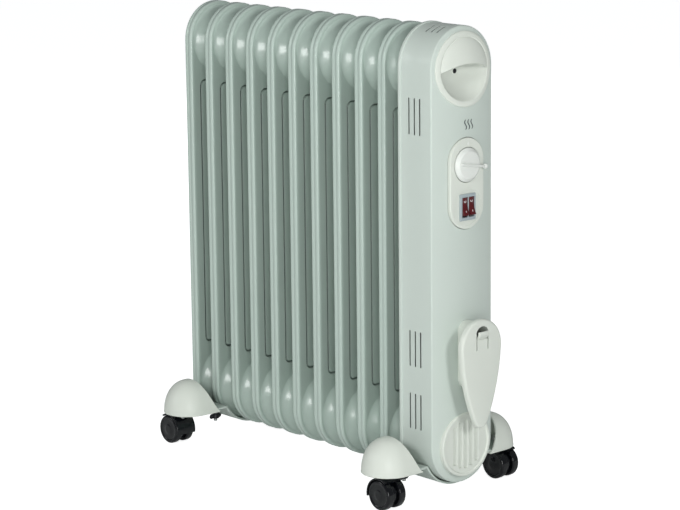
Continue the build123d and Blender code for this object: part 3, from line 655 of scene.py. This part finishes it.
# %% Switch frame and rockers
PIVOT_X, ROCKER_Y, ROCKER_TILT = 6.0, 5.6, 10.0
flange = slab(round_box(26.4, 33.4, 1.2, (0, SWITCH_Z)), PANEL_FRONT - 1, 12.0, 0.7)
case = slab(round_box(23.8, 30.8, 0.4, (0, SWITCH_Z)), -13, PANEL_FRONT, 0.3)
bezel = add_piece("switch_bezel", join(flange, case), switch_plastic, ["switch_frame"])
carve(bezel, [slab(round_box(9.8, 25.6, 0.4, (side * ROCKER_Y, SWITCH_Z)), -2.9, 20, 0.01)
              for side in (-1, 1)])
s = np.linspace(-1, 1, 21)
nose = PANEL_FRONT + 2.2 - PIVOT_X
face_line = np.stack([nose + 1.9 * np.abs(s) ** 1.6, 11.2 * s], axis=1)
rocker_outline = np.vstack([face_line, [(nose - 3, 11.2), (-5, 6), (-5, -6), (nose - 3, -11.2)]])
lean = radians(ROCKER_TILT)


def tipped(part, y):
    """Turns a part about y by the rocker's rest angle and moves it to the pivot."""
    points, faces = part
    x, z = points[:, 0], points[:, 2]
    turned = np.stack([x * cos(lean) - z * sin(lean), points[:, 1], x * sin(lean) + z * cos(lean)], axis=1)
    return turned + (PIVOT_X, y, SWITCH_Z), faces


for side, name in ((-1, "left"), (1, "right")):
    plate = slab(rocker_outline, -4.5, 4.5, 0.5, "y")
    add_piece(f"rocker_plate_{name}", tipped(plate, side * ROCKER_Y), rocker_plastic,
              [f"switch_rocker_{name}"], body=f"rocker_{name}", sharp=40)
    ring = lathe([(-0.1, 1.1), (0.14, 1.15), (0.14, 1.8), (-0.1, 1.85)],
                 (nose + 0.85, 0, 6.6), "x", 24, loop=True)
    bar = slab(round_box(0.7, 3.2, 0.3, (0, -6.6)), nose + 0.7, nose + 0.98, 0.05)
    add_piece(f"rocker_marks_{name}", tipped(join(ring, bar), side * ROCKER_Y), mark_ink,
              body=f"rocker_{name}")
print("switch made")

# %% [markdown]
# ## Lower grille
# Behind the lowest part of the front sits a round moulding with five upright louvres. Each louvre
# is a slot with rounded ends whose floor slopes like a saw tooth, so that one side of each slot is
# bright and the other falls into shade. Sloping cutters make them.

# %% Louvred disc
GRILLE_FRONT = 9.3
disc_profile = [(-2, 0), (-2, 41.2), (2, 42), (GRILLE_FRONT - 2.0, 42)]
disc_profile += corner(GRILLE_FRONT - 2.0, 40, 2.0, 90, 0, 6)[1:]
disc_profile += [(GRILLE_FRONT - h, r) for h, r in ((0, 39.0), (0.3, 38.2), (1.5, 37.6), (1.9, 37.0),
                                                    (1.6, 30), (1.2, 12), (1.2, 0))]
grille = add_piece("louvred_disc", swept(disc_profile, GRILLE_Z, steps=48), ivory_plastic,
                   ["lower_grille"])


def sloping_cutter(y, half_length, width, deep):
    """A rounded slot whose floor rises from full depth at its left side to the front at its right."""
    outline, _ = outward(round_box(width, 2 * half_length, 1.6, (y, GRILLE_Z), 5))
    share = ((y + width / 2) - outline[:, 0]) / width
    floor = np.column_stack([GRILLE_FRONT - 1.0 - deep * share, outline])
    top = np.column_stack([np.full(len(outline), 20.0), outline])
    points, faces = grid(np.stack([floor, top]), wrap_v=True)
    count = len(outline)
    return points, faces + [list(range(count)), list(range(count, 2 * count))]


LOUVRE_PITCH, LOUVRE_FIELD = 9.4, 36.0
louvres = [(k - 2) * LOUVRE_PITCH for k in range(5)]
carve(grille, [sloping_cutter(y, 0.88 * sqrt(LOUVRE_FIELD ** 2 - (abs(y) + 3) ** 2), 7.6, 8.0)
               for y in louvres])
print("grille faces:", len(grille.data.polygons))

# %% [markdown]
# ## Cord winder
# The winder is a thick drop shaped plate on an oval post. A window near its top and two fine
# slots below it free a springy tongue that ends in an S shaped lip, which holds the plug. Its
# front rim is heavily rounded, so the rim catches the light all the way round.

# %% Drop shaped plate, post and tongue
WINDER_Z, WINDER_BACK, WINDER_FRONT = 203.5, 29.0, 37.0


def drop_outline(head=35.0, tip=11.0, length=94.5, bow=260.0, steps=24):
    """Round head, round tip and bowed sides that touch both: arcs of the four tangent circles."""
    bow_z = ((bow - tip) ** 2 - (bow - head) ** 2 - length ** 2) / (2 * length)
    bow_y = sqrt((bow - head) ** 2 - bow_z ** 2)
    head_angle = np.arctan2(-bow_z, bow_y)
    tip_angle = np.arctan2(-length - bow_z, bow_y)
    over = np.linspace(head_angle, pi - head_angle, steps)
    side = np.linspace(head_angle, tip_angle, steps)[1:-1]
    under = np.linspace(tip_angle, -pi - tip_angle, steps // 2)
    right = arc(bow, side, (-bow_y, bow_z))
    outline = np.vstack([arc(head, over)[::-1], right, arc(tip, under, (0, -length)),
                         right[::-1] * (-1, 1)])
    return outline + (0, WINDER_Z)


plate = add_piece("winder_plate",
                  slab(drop_outline(), WINDER_BACK, WINDER_FRONT, 3.4, edge_low=0.8, steps=6),
                  ivory_plastic, ["cord_winder"])
window_top = np.linspace(0, pi, 17)
window = np.vstack([np.stack([10.5 * np.cos(window_top), 221.5 + 8.5 * np.sin(window_top)], axis=1),
                    [(-10.5, 213), (10.5, 213)]])
carve(plate, [slab(window, 20, 50, 0.01)])
carve(plate, [slab(round_box(1.6, 14.0, 0.7, (y, 206.6)), 20, 50, 0.01) for y in (-9.7, 9.7)])


def tongue_lip():
    """An S shaped strip: its mid line bends out, and half its thickness lies to each side."""
    line = np.array([(33.8, 210.0), (34.4, 213), (35.6, 215.4), (37.6, 217.2), (38.9, 219.4),
                     (38.9, 221.8), (38.0, 223.6)])
    t = np.linspace(0, len(line) - 1, 25)
    x, z = (np.interp(t, np.arange(len(line)), line[:, k]) for k in (0, 1))
    x, z = (np.convolve(np.pad(v, 2, mode="edge"), np.ones(5) / 5, "valid") for v in (x, z))
    slope = np.stack([np.gradient(x), np.gradient(z)], axis=1)
    slope /= np.linalg.norm(slope, axis=1)[:, None]
    across = np.stack([slope[:, 1], -slope[:, 0]], axis=1)
    middle = np.stack([x, z], axis=1)
    half = np.full((25, 1), 1.5)
    half[-2:, 0] = (1.3, 0.9)
    outline = np.vstack([middle + half * across, (middle - half * across)[::-1]])
    return slab(outline, -8.3, 8.3, 0.7, "y")


add_piece("winder_tongue_lip", tongue_lip(), ivory_plastic, sharp=40)
end = np.linspace(0, pi, 15)
post_outline = np.vstack([arc(14, end, (0, 220)), arc(-14, end, (0, 160))])
post = add_piece("winder_post", slab(post_outline, 6.0, WINDER_BACK + 0.5, 0.4), ivory_plastic)
carve(post, [slab(window, 9, 50, 0.01)])


def pocket_shade(x, y, z):
    """Painted shade, 0.9 on the walls and the floor of the pocket behind the window, 0 elsewhere."""
    return 0.9 * ((x < 28) & (np.abs(y) < 10.6) & (z > 212.9) & (z < 230.1))


# The pocket behind the window is painted dark for the shade that falls in it.
mark_painted_shade(post, pocket_shade)
print("winder faces:", len(plate.data.polygons))

# %% [markdown]
# ## Feet
# Each crossbar is a bent steel strip: a saddle round the bottom of the fins with a flat wing on
# each side. Plastic covers hide the wings. A cover is half an ellipsoid carried on towards the
# heater as an arch, and its open end is cut on a slope.

# %% Crossbars
FOOT_X = {"front": -43.0, "rear": -448.0}
U_BOLT_X = {"front": -71.5, "rear": -457.75}
SADDLE_RADIUS = {"front": 54.5, "rear": 51.3}
BAR_HALF_WIDTH, WING_BOTTOM, WING_TOP, WING_REACH = 31.6, 45.5, 48.0, 100.0
STEM_Y, COVER_BEND_Y = 101.0, 88.5


def saddle_outline(inner, reach):
    """A strip 2.5 thick: along one wing, under the round bottom and out along the other wing."""
    outer = inner + 2.5
    drop_out, drop_in = LOW_Z - WING_BOTTOM, LOW_Z - WING_TOP
    a_out, a_in = np.arcsin(drop_out / outer), np.arcsin(drop_in / inner)
    under = np.linspace(-a_out, -pi + a_out, 45)
    over = np.linspace(-pi + a_in, -a_in, 45)
    lower, upper = arc(outer, under, (0, LOW_Z)), arc(inner, over, (0, LOW_Z))
    return np.vstack([[(reach, WING_BOTTOM)], lower, [(-reach, WING_BOTTOM), (-reach, WING_TOP)],
                      upper, [(reach, WING_TOP)]])


for end_name, x in FOOT_X.items():
    strip = slab(saddle_outline(SADDLE_RADIUS[end_name], WING_REACH),
                 x - BAR_HALF_WIDTH, x + BAR_HALF_WIDTH, 0.6)
    add_piece(f"{end_name}_saddle_bar", strip, bar_paint, [f"{end_name}_crossbar"])
print("crossbars: 2")

# %% Foot covers
COVER_BASE, COVER_WIDE, COVER_TALL, COVER_INNER_Y, COVER_LEAN = 43.0, 34.1, 44.8, 60.0, 24.0


def helmet_layer(inset, base):
    """Arch: (W cos t, H sin t) from the sloping edge to the bend. Dome: the same times cos p,
    moved out by L sin p. The angle t is eased so that the sides stand up a little straighter."""
    wide, tall = COVER_WIDE - inset, COVER_TALL - (base - COVER_BASE) - inset
    t = np.linspace(0, pi, 49)
    c, s = np.sign(np.cos(t)) * np.abs(np.cos(t)) ** 0.92, np.sin(t) ** 0.92
    section_x, section_z = wide * c, tall * s
    open_y = COVER_INNER_Y + COVER_LEAN * (section_z / COVER_TALL) ** 0.72
    rows = []
    for share in np.linspace(0, 1, 4):
        y = open_y * (1 - share) + COVER_BEND_Y * share
        rows.append(np.stack([section_x, y, base + section_z], axis=1))
    for p in np.linspace(0, pi / 2, 17)[1:]:
        rows.append(np.stack([section_x * cos(p), np.full(len(t), COVER_BEND_Y + wide * sin(p)),
                              base + section_z * cos(p) ** 0.92], axis=1))
    return np.stack(rows)


def foot_cover(x, side):
    """Outer and inner layer joined at the open edge, and a floor plate with a soft bright rim."""
    outer, inner = helmet_layer(0, COVER_BASE + 0.8), helmet_layer(2.0, COVER_BASE + 0.8)
    shell = thick(outer, inner)
    turn, reach = np.linspace(0, pi, 33), COVER_WIDE + 0.4
    plan = np.vstack([arc(reach, turn, (0, COVER_BEND_Y)),
                      [(-reach, COVER_INNER_Y + 0.4), (reach, COVER_INNER_Y + 0.4)]])
    points, faces = join(shell, slab(plan, COVER_BASE, COVER_BASE + 2.4, 1.0, "z"))
    return points * (1, side, 1) + (x, 0, 0), faces


for end_name, x in FOOT_X.items():
    for side_name, side in (("left", -1), ("right", 1)):
        add_piece(f"helmet_{end_name}_{side_name}", foot_cover(x, side), ivory_plastic,
                  [f"foot_cover_{end_name}_{side_name}"], sharp=50)
print("foot covers: 4")

# %% U bolts and wing nuts
ARM_Y = 34.0


def u_bolt(x, low):
    """Straight up, half a turn over the header at radius 34, and straight down."""
    over = np.linspace(0, pi, 25)
    arch = np.stack([np.full(25, x), ARM_Y * np.cos(over), LOW_Z + ARM_Y * np.sin(over)], axis=1)
    return tube(np.vstack([[(x, ARM_Y, low)], arch, [(x, -ARM_Y, low)]]), 2.45)


def wing_nut(x, y, z):
    """A tapered boss with two upright rounded wings."""
    boss = lathe([(0, 2.5), (0, 5.0), (0.6, 5.3), (5.6, 4.4), (6.8, 3.6), (7, 2.5)],
                 (x, y, z), "z", 24, loop=True)
    wings = []
    for side in (-1, 1):
        t = np.linspace(0, 2 * pi, 24, endpoint=False)
        wing = np.stack([y + side * (6.6 + 3.4 * np.cos(t)),
                         z + 3.0 + 3.4 * np.sin(t) + 0.5 * side * np.cos(t)], axis=1)
        wings.append(slab(wing, x - 1.1, x + 1.1, 0.5))
    return join(boss, *wings)


bolts, nuts = [], []
for end_name, x in U_BOLT_X.items():
    saddle = SADDLE_RADIUS[end_name] + 2.5
    nut_top = LOW_Z - sqrt(saddle ** 2 - 29.5 ** 2) - 0.1
    bolts.append(u_bolt(x, nut_top - 10.8))
    nuts += [wing_nut(x, side * ARM_Y, nut_top - 7) for side in (-1, 1)]
add_piece("header_u_bolts", join(*bolts), zinc, ["u_bolts"])
add_piece("bar_wing_nuts", join(*nuts), black_steel, ["wing_nuts"], sharp=40)
print("u bolts:", len(bolts), "wing nuts:", len(nuts))

# %% [markdown]
# ## Casters
# A twin wheel caster is a hood over two wheels, with a web between them that carries the axle.
# Hood and wheels are glossy black. The wheels have a rounded tread and a shallow dished face, so
# that a thin arc of light runs round each rim.

# %% Wheels, hood and stem
WHEEL_RADIUS, WHEEL_WIDTH, WHEEL_Y, TRAIL = 19.5, 11.0, 10.0, 12.0
HOOD_INNER, HOOD_OUTER = WHEEL_RADIUS + 0.6, WHEEL_RADIUS + 2.9
WHEEL_SIDE = {"front": 1, "rear": -1}


def wheel(side):
    """Turned about y: web face, bore side, rounded tread, then a rim step and a domed hub."""
    half, r = WHEEL_WIDTH / 2, WHEEL_RADIUS
    profile = [(-half, 0), (-half, r - 2.4)] + corner(-half + 2.4, r - 2.4, 2.4, 180, 90, 6)[1:]
    profile += corner(half - 3.2, r - 3.2, 3.2, 90, 15, 6)
    profile += [(half - 0.2, r - 3.9), (half - 0.9, r - 4.6), (half - 1.1, r - 6), (half - 0.9, 9),
                (half - 0.4, 6.5), (half - 0.1, 5.6), (half, 4), (half, 0)]
    return lathe([(side * h, radius) for h, radius in profile], (0, side * WHEEL_Y, 0), "y", 48)


def sector(inner, outer, start, end):
    """Outline of a piece of a ring between two angles in degrees."""
    turn = np.radians(np.linspace(start, end, 30))
    return np.vstack([arc(outer, turn), arc(inner, turn)[::-1]])


def yoke():
    """Hood from -12 to 124 degrees over both wheels, the web between them and the stem boss."""
    hub = arc(15, np.linspace(0, 2 * pi, 40, endpoint=False))
    hood_part = slab(sector(HOOD_INNER, HOOD_OUTER, -12, 124), -15.6, 15.6, 1.0, "y")
    web = slab(sector(9, HOOD_INNER + 0.5, -8, 112), -3.2, 3.2, 0.2, "y")
    boss = lathe([(HOOD_INNER + 0.2, 0), (HOOD_INNER + 0.2, 11.5), (HOOD_OUTER, 11.9),
                  (HOOD_OUTER + 0.5, 11.3), (HOOD_OUTER + 0.5, 0)], (TRAIL, 0, 0), "z", 40)
    return join(hood_part, web, slab(hub, -3.2, 3.2, 0.3, "y"), boss)


def stem():
    """A pin turned about z, with a round collar just above the hood."""
    collar = [(28.9, 4), (28.9, 6.1), (29.3, 6.5), (30.1, 6.5), (30.5, 6.1), (30.5, 4)]
    profile = [(13, 0), (13, 4)] + collar + [(34.4, 4), (35, 3.4), (35, 0)]
    return lathe(profile, (TRAIL, 0, 0), "z", 28)


for end_name, foot_x in FOOT_X.items():
    ahead = WHEEL_SIDE[end_name]
    for side_name, side in (("left", -1), ("right", 1)):
        tag = f"{end_name}_{side_name}"
        place = np.array([foot_x + ahead * TRAIL, side * STEM_Y, WHEEL_RADIUS])
        turned = np.array([-ahead, -ahead, 1])
        points, faces = yoke()
        add_piece(f"caster_hood_{tag}", (points * turned + place, faces), black_plastic,
                  [f"caster_yoke_{tag}"], body=f"caster_{tag}", sharp=35)
        points, faces = stem()
        add_piece(f"caster_pin_{tag}", (points * turned + place, faces), zinc, [f"caster_stem_{tag}"],
                  body=f"caster_{tag}")
        for wheel_side, letter in ((-1, "a"), (1, "b")):
            points, faces = wheel(wheel_side)
            add_piece(f"wheel_{tag}_{letter}", (points * turned + place, faces), black_plastic,
                      [f"caster_wheel_{tag}_{letter}"], body=f"wheel_{tag}_{letter}",
                      sharp=40)
print("casters: 4, wheels: 8")

# %% [markdown]
# ## What stays from the frame
# The parts inside the housing show only through the vents, so their plain solids stay and get a
# finish each.

# %% Finishes for the frame's own nodes
INNER_FINISH = {
    "heater_flange": bare_steel, "heating_elements": element_steel, "heat_shield": bare_steel,
    "thermal_cutout": bare_steel, "terminal_block": terminal_white, "internal_wiring": wire_sleeve,
    "thermostat_body": brown_resin, "knob_shaft": bare_steel, "winder_screws": zinc,
    "cord_gland": gland_rubber,
}
INNER_FINISH.update({name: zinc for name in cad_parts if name.startswith("caster_axle")})
for name, material in INNER_FINISH.items():
    for material_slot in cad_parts[name].material_slots:
        material_slot.material = material
print("nodes kept:", len(INNER_FINISH))

# %% [markdown]
# ## Floor, light and camera
# The heater stands on a floor that glows for the camera only, so it looks white and still throws
# little light up. A large soft light from the left gives the side walls and rims their tone, and
# leaves the faces between the fins dark. A front key lights the controls, a low window makes the
# bright patches on the round headers, and two weaker lights serve the left rim and the back. The
# camera looks down a little, from far away with a long lens, so the fins hardly get smaller to
# the rear.

# %% Stage
FLOOR_GLOW, SKY_LIGHT, SKY_SEEN = 0.82, 0.2, 0.95
floor_paint = finish("pale floor", (0.86, 0.87, 0.865), (0.7, 0.8), 40, 0.01, 3, 0.005)
floor_shader = floor_paint.node_tree.nodes["Principled BSDF"]
floor_shader.inputs["Emission Color"].default_value = (1, 1, 1, 1)
floor_tree = floor_paint.node_tree
seen, glow = floor_tree.nodes.new("ShaderNodeLightPath"), floor_tree.nodes.new("ShaderNodeMath")
glow.operation = "MULTIPLY"
glow.inputs[1].default_value = FLOOR_GLOW
floor_tree.links.new(seen.outputs["Is Camera Ray"], glow.inputs[0])
floor_tree.links.new(glow.outputs["Value"], floor_shader.inputs["Emission Strength"])
floor_mesh = bpy.data.meshes.new("floor")
floor_mesh.from_pydata([(-30, -30, 0), (30, -30, 0), (30, 30, 0), (-30, 30, 0)], [], [(0, 1, 2, 3)])
floor = bpy.data.objects.new("floor", floor_mesh)
floor_mesh.materials.append(floor_paint)
bpy.context.scene.collection.objects.link(floor)

world = bpy.data.worlds.new("pale sky")
bpy.context.scene.world = world
world.use_nodes = True
sky = world.node_tree
sky.nodes["Background"].inputs["Color"].default_value = (0.93, 0.97, 1.0, 1)
sky.nodes["Background"].inputs["Strength"].default_value = SKY_LIGHT
backdrop = sky.nodes.new("ShaderNodeBackground")
backdrop.inputs["Color"].default_value = (1, 1, 1, 1)
backdrop.inputs["Strength"].default_value = SKY_SEEN
ray, either = sky.nodes.new("ShaderNodeLightPath"), sky.nodes.new("ShaderNodeMixShader")
sky.links.new(ray.outputs["Is Camera Ray"], either.inputs["Fac"])
sky.links.new(sky.nodes["Background"].outputs["Background"], either.inputs[1])
sky.links.new(backdrop.outputs["Background"], either.inputs[2])
sky.links.new(either.outputs["Shader"], sky.nodes["World Output"].inputs["Surface"])


def soft_light(name, place, target, width, height, power, glossy=True):
    """A rectangular area light at a place, turned so that its -z axis points at the target.
    One that isn't glossy leaves no highlight."""
    light = bpy.data.lights.new(name, "AREA")
    light.shape, light.size, light.size_y = "RECTANGLE", width, height
    light.energy = power
    lamp = bpy.data.objects.new(name, light)
    lamp.visible_camera, lamp.visible_glossy = False, glossy
    lamp.location = place
    lamp.rotation_euler = (Vector(target) - Vector(place)).to_track_quat("-Z", "Y").to_euler()
    bpy.context.scene.collection.objects.link(lamp)


soft_light("large key on the left", (0.7, -2.88, 1.5), (0, 0, 0.3), 0.9, 0.9, 38, glossy=False)
soft_light("low window for the headers", (1.75, -1.35, 0.42), (0, 0, 0.5), 0.42, 0.7, 9)
soft_light("front key", (3.0, -0.3, 1.4), (0.1, 0, 0.3), 0.6, 0.6, 32, glossy=False)
soft_light("rim light behind the left", (-1.6, -2.6, 1.4), (-0.1, 0, 0.3), 1.0, 1.0, 8)
soft_light("fill behind the right", (-2.4, 2.6, 1.7), (0, 0, 0.3), 1.4, 1.4, 30, glossy=False)


# %% Camera
AZIMUTH, ELEVATION, ROLL = radians(48.422), radians(11.557), radians(-0.623)
LENS, SENSOR = 131.25, 36.0
away = Vector((sin(AZIMUTH) * cos(ELEVATION), -cos(AZIMUTH) * cos(ELEVATION), sin(ELEVATION)))
level_right = Vector((cos(AZIMUTH), sin(AZIMUTH), 0))
level_up = away.cross(level_right)
right = level_right * cos(ROLL) + level_up * sin(ROLL)
up = level_up * cos(ROLL) - level_right * sin(ROLL)
camera_data = bpy.data.cameras.new("camera")
camera_data.lens, camera_data.sensor_width, camera_data.sensor_fit = LENS, SENSOR, "HORIZONTAL"
camera_data.clip_start, camera_data.clip_end = 0.05, 100
camera = bpy.data.objects.new("camera", camera_data)
place = Vector((shoulder + 2.1720, -2.1304, 0.9385))
camera.matrix_world = Matrix.Translation(place) @ Matrix((right, up, away)).transposed().to_4x4()
bpy.context.scene.collection.objects.link(camera)
bpy.context.scene.camera = camera
bpy.context.scene.view_settings.view_transform = "Standard"
print("camera at", [round(v, 3) for v in place])
